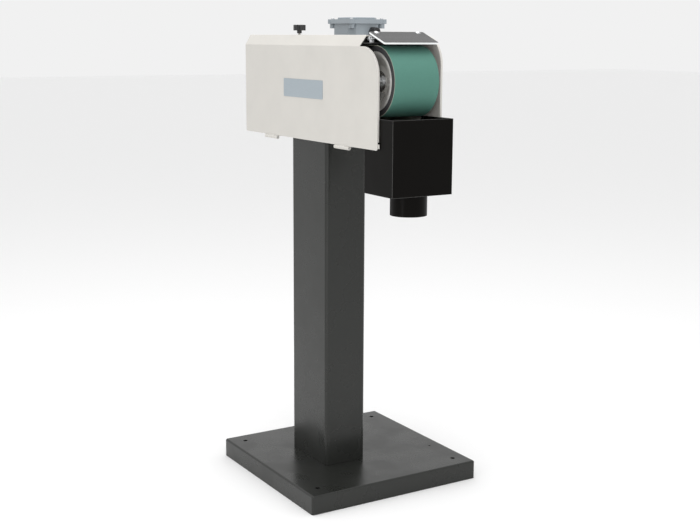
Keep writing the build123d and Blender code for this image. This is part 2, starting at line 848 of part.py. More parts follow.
# The front shield carries the mounting flange, the rear one the second bearing.
with BuildPart() as motor_end_shields:
    with BuildSketch(turning_plane(drive_x, wheel_z)):
        with BuildLine():
            Polyline(
                (back_plate_y, motor_spigot_radius - 0.1),
                (back_plate_y, shaft_hole_radius),
                (motor_front_y + 1, shaft_hole_radius),
                (motor_front_y + 1, motor_bearing_radius),
                (motor_frame_start, motor_bearing_radius),
                (motor_frame_start, motor_bore),
                (motor_frame_start, motor_flange_radius),
                (motor_front_y, motor_flange_radius),
                (motor_front_y, motor_spigot_radius - 0.1),
                close=True,
            )
        make_face()
    revolve(axis=turning_axis(drive_x, wheel_z))
    with BuildSketch(at_y(motor_front_y)):
        with Locations((drive_x, wheel_z)):
            with PolarLocations(motor_flange_bolt_radius, 4, start_angle=45):
                Circle(m8_radius)
    extrude(amount=-14, mode=Mode.SUBTRACT)
    with BuildSketch(turning_plane(drive_x, wheel_z)):
        with BuildLine():
            Polyline(
                (rear_seat_y, motor_bearing_radius + 8),
                (rear_seat_y, motor_bearing_radius),
                (rear_seat_y + motor_bearing_width, motor_bearing_radius),
                (rear_seat_y + motor_bearing_width, shaft_hole_radius),
                (motor_rear_end, shaft_hole_radius),
                (motor_rear_end, motor_frame_radius),
                (motor_frame_end, motor_frame_radius),
                (motor_frame_end, motor_bearing_radius + 8),
                close=True,
            )
        make_face()
    revolve(axis=turning_axis(drive_x, wheel_z))
motor_end_shields.part.label = "motor_end_shields"
export_step(motor_end_shields.part, "parts/motor_end_shields.step")

with BuildPart() as motor_bearings:
    for near_side in (motor_front_y + 1, rear_seat_y):
        with BuildSketch(at_y(near_side + motor_bearing_width)):
            with Locations((drive_x, wheel_z)):
                Circle(motor_bearing_radius)
                Circle(motor_shaft_radius + running_gap, mode=Mode.SUBTRACT)
        extrude(amount=motor_bearing_width)
motor_bearings.part.label = "motor_bearings"
export_step(motor_bearings.part, "parts/motor_bearings.step")

cowl_sheet = 2
grille_hole_radius = 4.6
grille_rings = ((18, 8), (33, 14), (48, 20), (63, 26))
cowl_start = motor_frame_end + 2
with BuildPart() as fan_cowl:
    with BuildSketch(at_y(motor_cowl_end)):
        with Locations((drive_x, wheel_z)):
            Circle(motor_frame_radius + cowl_sheet)
    extrude(amount=motor_cowl_end - cowl_start)
    fillet(fan_cowl.edges().sort_by(Axis.Y)[-1], 8)
    offset(amount=-cowl_sheet, openings=fan_cowl.faces().sort_by(Axis.Y)[0])
    with BuildSketch(at_y(motor_cowl_end + 1)):
        with Locations((drive_x, wheel_z)):
            for ring_radius, hole_count in grille_rings:
                with PolarLocations(ring_radius, hole_count):
                    Circle(grille_hole_radius)
    extrude(amount=cowl_sheet + 2, mode=Mode.SUBTRACT)
fan_cowl.part.label = "fan_cowl"
export_step(fan_cowl.part, "parts/fan_cowl.step")

# Terminal box on the motor's pad
terminal_x_size = 104
terminal_y_size = 101
terminal_chamfer = 16
terminal_wall = 3.5
lug_x = 49
lug_y = 47.5
lug_radius = 8
lid_bottom = 1174
with BuildPart() as terminal_box:
    with BuildSketch(Plane.XY.offset(pad_top)):
        with Locations((drive_x, terminal_y)):
            Rectangle(terminal_x_size, terminal_y_size)
        chamfer(vertices(), terminal_chamfer)
    extrude(amount=lid_bottom - pad_top)
    with BuildSketch(Plane.XY.offset(lid_bottom)):
        with Locations((drive_x, terminal_y)):
            with GridLocations(2 * lug_x, 2 * lug_y, 2, 2):
                Circle(lug_radius)
    extrude(amount=-12)
    with BuildSketch(Plane.XY.offset(pad_top + 4)):
        with Locations((drive_x, terminal_y)):
            Rectangle(terminal_x_size - 2 * terminal_wall, terminal_y_size - 2 * terminal_wall)
        chamfer(vertices(), terminal_chamfer)
    extrude(amount=lid_bottom - pad_top, mode=Mode.SUBTRACT)
    with BuildSketch(Plane.XY.offset(lid_bottom)):
        with Locations((drive_x, terminal_y)):
            with GridLocations(2 * lug_x, 2 * lug_y, 2, 2):
                Circle(m6_radius - 0.5)
    extrude(amount=-10, mode=Mode.SUBTRACT)
terminal_box.part.label = "terminal_box"
export_step(terminal_box.part, "parts/terminal_box.step")

lid_thickness = 12
with BuildPart() as terminal_lid:
    with BuildSketch(Plane.XY.offset(lid_bottom)):
        with Locations((drive_x, terminal_y)):
            RectangleRounded(terminal_x_size + 12, terminal_y_size + 12, 10)
            with GridLocations(2 * lug_x + 8, 2 * lug_y + 8, 2, 2):
                Circle(lug_radius)
    extrude(amount=lid_thickness)
    with BuildSketch(Plane.XY.offset(lid_bottom + lid_thickness)):
        with Locations((drive_x, terminal_y)):
            Rectangle(terminal_x_size - 14, terminal_y_size - 14)
        chamfer(vertices(), terminal_chamfer)
    extrude(amount=terminal_top - lid_bottom - lid_thickness)
    fillet(terminal_lid.faces().sort_by(Axis.Z)[-1].edges(), 2)
    with BuildSketch(Plane.XY.offset(lid_bottom)):
        with Locations((drive_x, terminal_y)):
            with GridLocations(2 * lug_x, 2 * lug_y, 2, 2):
                Circle(m6_radius)
    extrude(amount=lid_thickness, mode=Mode.SUBTRACT)
terminal_lid.part.label = "terminal_lid"
export_step(terminal_lid.part, "parts/terminal_lid.step")

# ================================================================ tension arm
# The roller stands roller_gap below the belt, which is one rigid loop here.
roller_radius = 25
roller_x = 20
roller_gap = 1.6
roller_z = wheel_z + wheel_radius + belt_gap - roller_gap - roller_radius
roller_near_y = -112
roller_far_y = 2
roller_bearing_radius = 14
roller_bearing_width = 8
roller_axle_radius = 6
arm_near_y = 7.5
arm_far_y = 17
shoulder_far_y = back_plate_y
handle_x = 122
handle_z = 992
handle_near_y = -128
handle_grip_radius = 11
handle_grip_length = 46
arm_shoulder_radius = 11
with BuildPart() as arm_pivot:
    with BuildSketch(turning_plane(arm_pivot_x, arm_pivot_z)):
        with BuildLine():
            Polyline(
                (4.5, 0),
                (4.5, arm_pivot_radius),
                (arm_far_y + 0.3, arm_pivot_radius),
                (arm_far_y + 0.3, arm_shoulder_radius),
                (shoulder_far_y, arm_shoulder_radius),
                (shoulder_far_y, arm_pivot_radius),
                (back_plate_out, arm_pivot_radius),
                (back_plate_out, 13),
                (back_plate_out + 5, 13),
                (back_plate_out + 5, 0),
                close=True,
            )
        make_face()
    revolve(axis=turning_axis(arm_pivot_x, arm_pivot_z))
arm_pivot.part.label = "arm_pivot"
export_step(arm_pivot.part, "parts/arm_pivot.step")

with BuildPart() as tension_arm:
    with BuildSketch(at_y(arm_far_y)):
        with Locations((arm_pivot_x, arm_pivot_z)):
            Circle(18)
        with Locations((roller_x, roller_z)):
            Circle(12)
        make_hull()
    extrude(amount=arm_far_y - arm_near_y)
    with BuildSketch(at_y(arm_far_y)):
        with Locations((arm_pivot_x, arm_pivot_z)):
            Circle(17)
        with Locations((handle_x, handle_z)):
            Circle(11)
        make_hull()
    extrude(amount=arm_far_y - arm_near_y)
    with BuildSketch(at_y(arm_far_y)):
        with Locations((arm_pivot_x, arm_pivot_z)):
            Circle(arm_pivot_radius + running_gap)
        with Locations((roller_x, roller_z), (handle_x, handle_z)):
            Circle(roller_axle_radius)
    extrude(amount=arm_far_y - arm_near_y, mode=Mode.SUBTRACT)
tension_arm.part.label = "tension_arm"
export_step(tension_arm.part, "parts/tension_arm.step")

# Torsion spring round the pivot's shoulder, with a straight leg at each end.
spring_wire = 1.1
spring_radius = 14
spring_start = arm_far_y + spring_wire + 1
spring_end = shoulder_far_y - spring_wire - 1
spring_turns = 1.25
spring_leg = 16
with BuildPart() as tension_spring:
    with BuildLine():
        coil = Helix(
            pitch=(spring_end - spring_start) / spring_turns,
            height=spring_end - spring_start,
            radius=spring_radius,
            center=(arm_pivot_x, spring_start, arm_pivot_z),
            direction=(0, 1, 0),
        )
    with BuildSketch(Plane(origin=coil @ 0, z_dir=coil % 0)):
        Circle(spring_wire)
    sweep(path=coil)
    with BuildSketch(Plane(origin=coil @ 0, z_dir=coil % 0)):
        Circle(spring_wire)
    extrude(amount=-spring_leg)
    with BuildSketch(Plane(origin=coil @ 1, z_dir=coil % 1)):
        Circle(spring_wire)
    extrude(amount=spring_leg)
tension_spring.part.label = "tension_spring"
export_step(tension_spring.part, "parts/tension_spring.step")

with BuildPart() as roller_axle:
    with BuildSketch(at_y(arm_far_y)):
        with Locations((roller_x, roller_z)):
            Circle(roller_axle_radius)
    extrude(amount=arm_far_y - roller_near_y + 0.5)
    with BuildSketch(at_y(roller_near_y - 0.5)):
        with Locations((roller_x, roller_z)):
            RegularPolygon(9, 6, major_radius=False)
    extrude(amount=5)
roller_axle.part.label = "roller_axle"
export_step(roller_axle.part, "parts/roller_axle.step")

with BuildPart() as tension_roller:
    with BuildSketch(turning_plane(roller_x, roller_z)):
        with BuildLine():
            Polyline(
                (roller_near_y, roller_radius),
                (roller_near_y, roller_bearing_radius),
                (roller_near_y + roller_bearing_width, roller_bearing_radius),
                (roller_near_y + roller_bearing_width, 11),
                (roller_far_y - roller_bearing_width, 11),
                (roller_far_y - roller_bearing_width, roller_bearing_radius),
                (roller_far_y, roller_bearing_radius),
                (roller_far_y, roller_radius),
                close=True,
            )
        make_face()
    revolve(axis=turning_axis(roller_x, roller_z))
tension_roller.part.label = "tension_roller"
export_step(tension_roller.part, "parts/tension_roller.step")

with BuildPart() as roller_bearings:
    for far_side in (roller_near_y + roller_bearing_width, roller_far_y):
        with BuildSketch(at_y(far_side)):
            with Locations((roller_x, roller_z)):
                Circle(roller_bearing_radius)
                Circle(roller_axle_radius + running_gap, mode=Mode.SUBTRACT)
        extrude(amount=roller_bearing_width)
roller_bearings.part.label = "roller_bearings"
export_step(roller_bearings.part, "parts/roller_bearings.step")

with BuildPart() as release_handle:
    with BuildSketch(at_y(arm_far_y)):
        with Locations((handle_x, handle_z)):
            Circle(roller_axle_radius)
    extrude(amount=arm_far_y - handle_near_y)
    with BuildSketch(at_y(handle_near_y + handle_grip_length)):
        with Locations((handle_x, handle_z)):
            Circle(handle_grip_radius)
    extrude(amount=handle_grip_length)
    fillet(release_handle.edges().filter_by(GeomType.CIRCLE).group_by(SortBy.RADIUS)[-1], 4)
release_handle.part.label = "release_handle"
export_step(release_handle.part, "parts/release_handle.step")

# ================================================================ guards at the operator's end
plate_x = 275
plate_sheet = 2.5
plate_bottom = 1124
plate_top = wrap_top + 2
plate_foot_x = 308
plate_lap = 25
plate_tongue_near_y = -131
plate_tongue_far_y = -80
bevel_gap = 2.6
plate_screw_z = 1135
plate_screw_spacing = 124
with BuildPart() as spark_plate:
    with BuildSketch(at_y(back_plate_y - 1)):
        with BuildLine():
            Polyline(
                (plate_x - plate_lap, wrap_top),
                (plate_x, wrap_top),
                (plate_x, plate_bottom),
                (plate_foot_x, plate_bottom),
                (plate_foot_x, plate_bottom + plate_sheet),
                (plate_x + plate_sheet, plate_bottom + plate_sheet),
                (plate_x + plate_sheet, plate_top),
                (plate_x - plate_lap, plate_top),
                close=True,
            )
        make_face()
    extrude(amount=back_plate_y - 1 - cover_flange_y - 4)
    # In front of the cover's flange only the upright and the foot go on.
    with BuildSketch(at_y(plate_tongue_far_y)):
        with BuildLine():
            Polyline(
                (plate_x, plate_bottom),
                (plate_foot_x, plate_bottom),
                (plate_foot_x, plate_bottom + plate_sheet),
                (plate_x + plate_sheet, plate_bottom + plate_sheet),
                (plate_x + plate_sheet, wrap_top),
                (plate_x, wrap_top),
                close=True,
            )
        make_face()
    extrude(amount=plate_tongue_far_y - plate_tongue_near_y)
    # The upright's near corner follows the inside of the cover's bevel.
    with BuildSketch(Plane.YZ.offset(plate_x - 1)):
        with BuildLine():
            Polyline(
                (cover_face_y + bevel_gap, cover_bend_z - cover_sheet),
                (cover_face_y + cover_bevel_depth + bevel_gap, cover_top - cover_sheet),
                (cover_face_y + bevel_gap, cover_top - cover_sheet),
                close=True,
            )
        make_face()
    extrude(amount=plate_foot_x - plate_x + 2, mode=Mode.SUBTRACT)
spark_plate.part.label = "spark_plate"
export_step(spark_plate.part, "parts/spark_plate.step")

post_offsets = (-66.5, 66.5)
post_width = 7
with BuildPart() as shield_posts:
    for post in post_offsets:
        with BuildSketch(at_y(head_y + post + post_width / 2)):
            with Locations((shield_rod_x, shield_rod_z)):
                Circle(shield_eye_radius)
                Rectangle(8, shield_rod_z - plate_bottom - plate_sheet, align=(Align.CENTER, Align.MAX))
                Circle(shield_rod_radius + running_gap, mode=Mode.SUBTRACT)
        extrude(amount=post_width)
shield_posts.part.label = "shield_posts"
export_step(shield_posts.part, "parts/shield_posts.step")

with BuildPart() as shield_rod:
    with BuildSketch(at_y(head_y + shield_width / 2)):
        with Locations((shield_rod_x, shield_rod_z)):
            Circle(shield_rod_radius)
    extrude(amount=shield_width)
shield_rod.part.label = "shield_rod"
export_step(shield_rod.part, "parts/shield_rod.step")

# Local x runs down the shield, local y along the rod, and local z is square to the shield.
tilt = radians(shield_tilt)
shield_plane = Plane(
    origin=(shield_rod_x, head_y, shield_rod_z),
    x_dir=(cos(tilt), 0, -sin(tilt)),
    z_dir=(sin(tilt), 0, cos(tilt)),
)
shield_back = -6
knuckle_offsets = (-56.5, 56.5)
knuckle_width = 10
with BuildPart() as shield_carrier:
    with BuildSketch(shield_plane.offset(shield_strip_height)):
        with Locations((shield_back, 0)):
            Rectangle(22, shield_width, align=(Align.MIN, Align.CENTER))
    extrude(amount=shield_strip)
    for knuckle in knuckle_offsets:
        with BuildSketch(at_y(head_y + knuckle + knuckle_width / 2)):
            with Locations((shield_rod_x, shield_rod_z)):
                Circle(shield_eye_radius)
        extrude(amount=knuckle_width)
        with BuildSketch(shield_plane.offset(3)):
            with Locations((0, knuckle)):
                Rectangle(10, knuckle_width)
        extrude(amount=shield_strip_height - 3)
    with BuildSketch(at_y(head_y + shield_width / 2)):
        with Locations((shield_rod_x, shield_rod_z)):
            Circle(shield_rod_radius)
    extrude(amount=shield_width, mode=Mode.SUBTRACT)
    with BuildSketch(shield_plane.offset(4)):
        with Locations(*[(0, knuckle) for knuckle in knuckle_offsets]):
            Circle(2.5)
    extrude(amount=10, mode=Mode.SUBTRACT)
shield_carrier.part.label = "shield_carrier"
export_step(shield_carrier.part, "parts/shield_carrier.step")

glass_bottom = shield_strip_height + shield_strip
glass_top = glass_bottom + shield_thickness
with BuildPart() as eye_shield:
    with BuildSketch(shield_plane.offset(glass_bottom)):
        with Locations((shield_back, 0)):
            Rectangle(shield_depth, shield_width, align=(Align.MIN, Align.CENTER))
        fillet(vertices(), 4)
        with Locations(*[(0, knuckle) for knuckle in knuckle_offsets]):
            Circle(2.5, mode=Mode.SUBTRACT)
    extrude(amount=shield_thickness)
eye_shield.part.label = "eye_shield"
export_step(eye_shield.part, "parts/eye_shield.step")

dome_radius = 8
dome_latitude = 36
with BuildPart() as shield_bolts:
    with Locations(*[shield_plane.location * Pos(0, knuckle, glass_top) for knuckle in knuckle_offsets]):
        Sphere(dome_radius, arc_size1=dome_latitude, align=(Align.CENTER, Align.CENTER, Align.MIN))
    with BuildSketch(shield_plane.offset(4)):
        with Locations(*[(0, knuckle) for knuckle in knuckle_offsets]):
            Circle(2.45)
    extrude(amount=glass_top - 4)
shield_bolts.part.label = "shield_bolts"
export_step(shield_bolts.part, "parts/shield_bolts.step")

with BuildPart() as spark_box:
    with BuildSketch(Plane.XY.offset(box_bottom)):
        with BuildLine():
            Polyline(
                (box_left, box_near_y),
                (box_right, box_near_y),
                (box_right, box_far_y),
                (box_left, box_far_y),
                close=True,
            )
        make_face()
    extrude(amount=box_top - box_bottom)
    offset(amount=-box_sheet, openings=spark_box.faces().sort_by(Axis.Z)[-1])
    with BuildSketch(Plane.YZ.offset(box_left - 1)):
        with Locations((head_y, box_top)):
            Rectangle(
                box_far_y - box_near_y - 8,
                box_top - box_back_wall_top,
                align=(Align.CENTER, Align.MAX),
            )
        with Locations((head_y, box_bolt_z)):
            with GridLocations(box_bolt_spacing, 1, 2, 1):
                Circle(m6_radius + m6_clearance)
    extrude(amount=box_sheet + 2, mode=Mode.SUBTRACT)
    with BuildSketch(Plane.XY.offset(box_bottom - 1)):
        with Locations((spigot_x, head_y)):
            Circle(spigot_radius - spigot_wall)
    extrude(amount=box_sheet + 2, mode=Mode.SUBTRACT)
spark_box.part.label = "spark_box"
export_step(spark_box.part, "parts/spark_box.step")

with BuildPart() as extraction_spigot:
    with BuildSketch(Plane.XY.offset(box_bottom - spigot_length)):
        with Locations((spigot_x, head_y)):
            Circle(spigot_radius)
            Circle(spigot_radius - spigot_wall, mode=Mode.SUBTRACT)
    extrude(amount=spigot_length)
extraction_spigot.part.label = "extraction_spigot"
export_step(extraction_spigot.part, "parts/extraction_spigot.step")

# ================================================================ switch
switch_out_y = back_plate_out + switch_depth
switch_lid_sheet = 4
start_z = switch_z + 28
stop_z = switch_z - 22
button_radius = 11
stop_head_radius = 19
button_inner_y = switch_out_y - 10
start_out_y = switch_out_y + switch_lid_sheet + 5
stop_neck_y = switch_out_y + switch_lid_sheet + 8
with BuildPart() as switch_box:
    with BuildSketch(at_y(back_plate_out)):
        with Locations((switch_x, switch_z)):
            RectangleRounded(switch_width, switch_height, 6)
    extrude(amount=-switch_depth)
    offset(amount=-switch_wall, openings=switch_box.faces().sort_by(Axis.Y)[-1])
    with BuildSketch(at_y(back_plate_out + switch_wall)):
        with Locations((switch_x, switch_z)):
            with GridLocations(1, switch_screw_spacing, 1, 2):
                Circle(m6_radius + m6_clearance)
    extrude(amount=switch_wall, mode=Mode.SUBTRACT)
switch_box.part.label = "switch_box"
export_step(switch_box.part, "parts/switch_box.step")

with BuildPart() as switch_lid:
    with BuildSketch(at_y(switch_out_y)):
        with Locations((switch_x, switch_z)):
            RectangleRounded(switch_width, switch_height, 6)
        with Locations((switch_x, start_z), (switch_x, stop_z)):
            Circle(button_radius + 0.3, mode=Mode.SUBTRACT)
    extrude(amount=-switch_lid_sheet)
    fillet(switch_lid.faces().sort_by(Axis.Y)[-1].outer_wire().edges(), 1.5)
switch_lid.part.label = "switch_lid"
export_step(switch_lid.part, "parts/switch_lid.step")

with BuildPart() as start_button:
    with BuildSketch(at_y(start_out_y)):
        with Locations((switch_x, start_z)):
            Circle(button_radius)
    extrude(amount=start_out_y - button_inner_y)
    fillet(start_button.edges().filter_by(GeomType.CIRCLE).sort_by(Axis.Y)[-1], 1)
start_button.part.label = "start_button"
export_step(start_button.part, "parts/start_button.step")

with BuildPart() as stop_button:
    with BuildSketch(at_y(stop_neck_y)):
        with Locations((switch_x, stop_z)):
            Circle(button_radius)
    extrude(amount=stop_neck_y - button_inner_y)
    with BuildSketch(at_y(stop_neck_y)):
        with Locations((switch_x, stop_z)):
            Circle(stop_head_radius)
    extrude(amount=-9)
    fillet(stop_button.edges().filter_by(GeomType.CIRCLE).sort_by(Axis.Y)[-1], 4)
stop_button.part.label = "stop_button"
export_step(stop_button.part, "parts/stop_button.step")

# Cable glands: one on the terminal box towards the operator, one under the switch box.
gland_flats = 24
gland_hex = 7
gland_length = 14
gland_radius = 11
gland_bore = 5
gland_y = terminal_y + 18
gland_z = (pad_top + lid_bottom) / 2
with BuildPart() as cable_glands:
    with BuildSketch(across(drive_x + terminal_x_size / 2, gland_y, gland_z)):
        RegularPolygon(gland_flats / 2, 6, major_radius=False)
        Circle(gland_bore, mode=Mode.SUBTRACT)
    extrude(amount=gland_hex)
    with BuildSketch(across(drive_x + terminal_x_size / 2 + gland_hex, gland_y, gland_z)):
        Circle(gland_radius)
        Circle(gland_bore, mode=Mode.SUBTRACT)
    extrude(amount=gland_length)
    with BuildSketch(Plane.XY.offset(switch_z - switch_height / 2)):
        with Locations((switch_x, back_plate_out + switch_depth / 2)):
            RegularPolygon(gland_flats / 2, 6, major_radius=False)
            Circle(gland_bore, mode=Mode.SUBTRACT)
    extrude(amount=-gland_hex)
    with BuildSketch(Plane.XY.offset(switch_z - switch_height / 2 - gland_hex)):
        with Locations((switch_x, back_plate_out + switch_depth / 2)):
            Circle(gland_radius)
            Circle(gland_bore, mode=Mode.SUBTRACT)
    extrude(amount=-gland_length)
cable_glands.part.label = "cable_glands"
export_step(cable_glands.part, "parts/cable_glands.step")

# ================================================================ fasteners
# Sizes: thread radius, width across flats, head height, nut height.
m10_size = (m10_radius, m10_flats, m10_head, m10_nut)
m8_size = (m8_radius, m8_flats, m8_head, m8_nut)
thread_tail = 3
switch_screw_tail = 1
lower_seat = base_inner_top - channel_sheet
lower_nut_seat = base_height + column_plate
column_pattern = (2 * column_bolt_x, 2 * column_bolt_y)
block_pattern = (2 * axle_block_bolt_x, 2 * axle_block_bolt_z)
motor_square = 2 * motor_flange_bolt_radius * cos(pi / 4)


def seat(origin, direction):
    """A plane under the bolt heads: its local z runs along the shanks."""
    return Plane(origin=origin, x_dir=(1, 0, 0), z_dir=direction)


# Each bolted joint: seat under the heads, hole pattern, size, clamped length and whether it has nuts.
bolted_joints = (
    (
        seat((column_x, head_y, lower_seat), (0, 0, 1)),
        column_pattern,
        m10_size,
        lower_nut_seat - lower_seat,
        True,
    ),
    (
        seat((column_x, head_y, floor_top), (0, 0, -1)),
        column_pattern,
        m10_size,
        floor_top - column_top,
        True,
    ),
    (
        seat((axle_block_x, block_outer_y, wheel_z), (0, -1, 0)),
        block_pattern,
        m8_size,
        block_outer_y - back_plate_y,
        True,
    ),
    (seat((drive_x, back_plate_y, wheel_z), (0, 1, 0)), (motor_square, motor_square), m8_size, 14, False),
)
with BuildPart() as hex_bolts:
    for seat_plane, pattern, size, clamped, has_nuts in bolted_joints:
        radius, flats, head, nut = size
        with BuildSketch(seat_plane):
            with GridLocations(*pattern, 2, 2):
                RegularPolygon(flats / 2, 6, major_radius=False)
        extrude(amount=-head)
        with BuildSketch(seat_plane):
            with GridLocations(*pattern, 2, 2):
                Circle(radius - running_gap)
        extrude(amount=clamped + (nut + thread_tail if has_nuts else 0))
hex_bolts.part.label = "hex_bolts"
export_step(hex_bolts.part, "parts/hex_bolts.step")

axle_nut_seats = (
    seat((wheel_x, axle_near_y - axle_washer, wheel_z), (0, -1, 0)),
    seat((wheel_x, block_outer_y + axle_washer, wheel_z), (0, 1, 0)),
)
with BuildPart() as hex_nuts:
    for seat_plane, pattern, size, clamped, has_nuts in bolted_joints:
        if has_nuts:
            radius, flats, head, nut = size
            with BuildSketch(seat_plane.offset(clamped)):
                with GridLocations(*pattern, 2, 2):
                    RegularPolygon(flats / 2, 6, major_radius=False)
                    Circle(radius + thread_gap, mode=Mode.SUBTRACT)
            extrude(amount=nut)
    for nut_plane in axle_nut_seats:
        with BuildSketch(nut_plane):
            RegularPolygon(9.5, 6, major_radius=False)
            Circle(axle_stud_radius + thread_gap, mode=Mode.SUBTRACT)
        extrude(amount=axle_nut)
    with BuildSketch(across(box_left - floor_sheet, head_y, box_bolt_z)):
        with GridLocations(box_bolt_spacing, 1, 2, 1):
            RegularPolygon(m6_head_radius, 6, major_radius=False)
            Circle(m6_radius + thread_gap, mode=Mode.SUBTRACT)
    extrude(amount=-m6_nut)
    with BuildSketch(at_y(back_plate_y)):
        with Locations((switch_x, switch_z)):
            with GridLocations(1, switch_screw_spacing, 1, 2):
                RegularPolygon(m6_head_radius, 6, major_radius=False)
                Circle(m6_radius + thread_gap, mode=Mode.SUBTRACT)
    extrude(amount=m6_nut)
hex_nuts.part.label = "hex_nuts"
export_step(hex_nuts.part, "parts/hex_nuts.step")

with BuildPart() as washers:
    for nut_plane in axle_nut_seats:
        with BuildSketch(nut_plane):
            Circle(15)
            Circle(axle_stud_radius + thread_gap, mode=Mode.SUBTRACT)
        extrude(amount=-axle_washer)
    with BuildSketch(at_y(arm_near_y - 0.3)):
        with Locations((arm_pivot_x, arm_pivot_z)):
            Circle(13)
            Circle(arm_pivot_radius + running_gap, mode=Mode.SUBTRACT)
    extrude(amount=2)
washers.part.label = "washers"
export_step(washers.part, "parts/washers.step")

with BuildPart() as machine_screws:
    with BuildSketch(across(box_left + box_sheet, head_y, box_bolt_z)):
        with GridLocations(box_bolt_spacing, 1, 2, 1):
            Circle(m6_head_radius)
    extrude(amount=m6_head)
    with BuildSketch(across(box_left + box_sheet, head_y, box_bolt_z)):
        with GridLocations(box_bolt_spacing, 1, 2, 1):
            Circle(m6_radius)
    extrude(amount=-(box_sheet + floor_sheet + m6_nut + thread_tail))
    with BuildSketch(at_y(back_plate_out + switch_wall)):
        with Locations((switch_x, switch_z)):
            with GridLocations(1, switch_screw_spacing, 1, 2):
                Circle(m6_head_radius)
    extrude(amount=-m6_head)
    with BuildSketch(at_y(back_plate_out + switch_wall)):
        with Locations((switch_x, switch_z)):
            with GridLocations(1, switch_screw_spacing, 1, 2):
                Circle(m6_radius)
    extrude(amount=switch_wall + back_plate_sheet + m6_nut + switch_screw_tail)
    with BuildSketch(across(plate_x + plate_sheet, head_y, plate_screw_z)):
        with GridLocations(plate_screw_spacing, 1, 2, 1):
            Circle(4)
    extrude(amount=2.5)
    with BuildSketch(Plane.XY.offset(lid_bottom + lid_thickness)):
        with Locations((drive_x, terminal_y)):
            with GridLocations(2 * lug_x, 2 * lug_y, 2, 2):
                Circle(4.5)
    extrude(amount=3)
    with BuildSketch(Plane.XY.offset(lid_bottom + lid_thickness)):
        with Locations((drive_x, terminal_y)):
            with GridLocations(2 * lug_x, 2 * lug_y, 2, 2):
                Circle(m6_radius - 0.55)
    extrude(amount=-(lid_thickness + 9))
machine_screws.part.label = "machine_screws"
export_step(machine_screws.part, "parts/machine_screws.step")
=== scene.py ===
import json
from math import cos, radians, sin

import bpy
from mathutils import Matrix, Vector

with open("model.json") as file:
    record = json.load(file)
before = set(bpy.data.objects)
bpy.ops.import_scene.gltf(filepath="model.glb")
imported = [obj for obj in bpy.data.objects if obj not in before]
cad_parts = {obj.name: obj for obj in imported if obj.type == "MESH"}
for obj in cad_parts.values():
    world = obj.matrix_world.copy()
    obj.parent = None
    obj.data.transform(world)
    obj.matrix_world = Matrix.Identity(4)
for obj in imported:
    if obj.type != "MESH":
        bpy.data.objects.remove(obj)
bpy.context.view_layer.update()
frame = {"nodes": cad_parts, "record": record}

# ------------------------------------------------------------------ camera, in metres and degrees
CAMERA_PLACE = (2.572867, -1.561392, 1.139415)
CAMERA_YAW = 58.673
CAMERA_PITCH = 10.828
CAMERA_ROLL = 0.283
FOCAL_PIXELS = 1172.839
IMAGE_WIDTH = 700
SENSOR = 36
SHIFT_X = 0.0010
SHIFT_Y = -0.0019

# ------------------------------------------------------------------ places, in metres
WHEEL_X = 0.305
WHEEL_Z = 1.040
DRIVE_X = -0.191316
SHIELD_TILT = radians(20)
FLOOR_SIZE = 60

# ------------------------------------------------------------------ light
SKY_LIGHT = 0.90
SKY_SEEN = 0.88

# ------------------------------------------------------------------ materials
PAINT_BUMP = 0.04
PAINT_BUMP_DEPTH = 0.0004
FINE_BUMP_DEPTH = 0.0002
SOFT_BUMP_DEPTH = 0.0003
EDGE_RADIUS = 0.0012
# Width of the mask for the painted highlight along sharp edges.
EDGE_HIGHLIGHT_RADIUS = 1.6 * EDGE_RADIUS
EDGE_SAMPLES = 6
RING_SCALE = 260
materials = {}


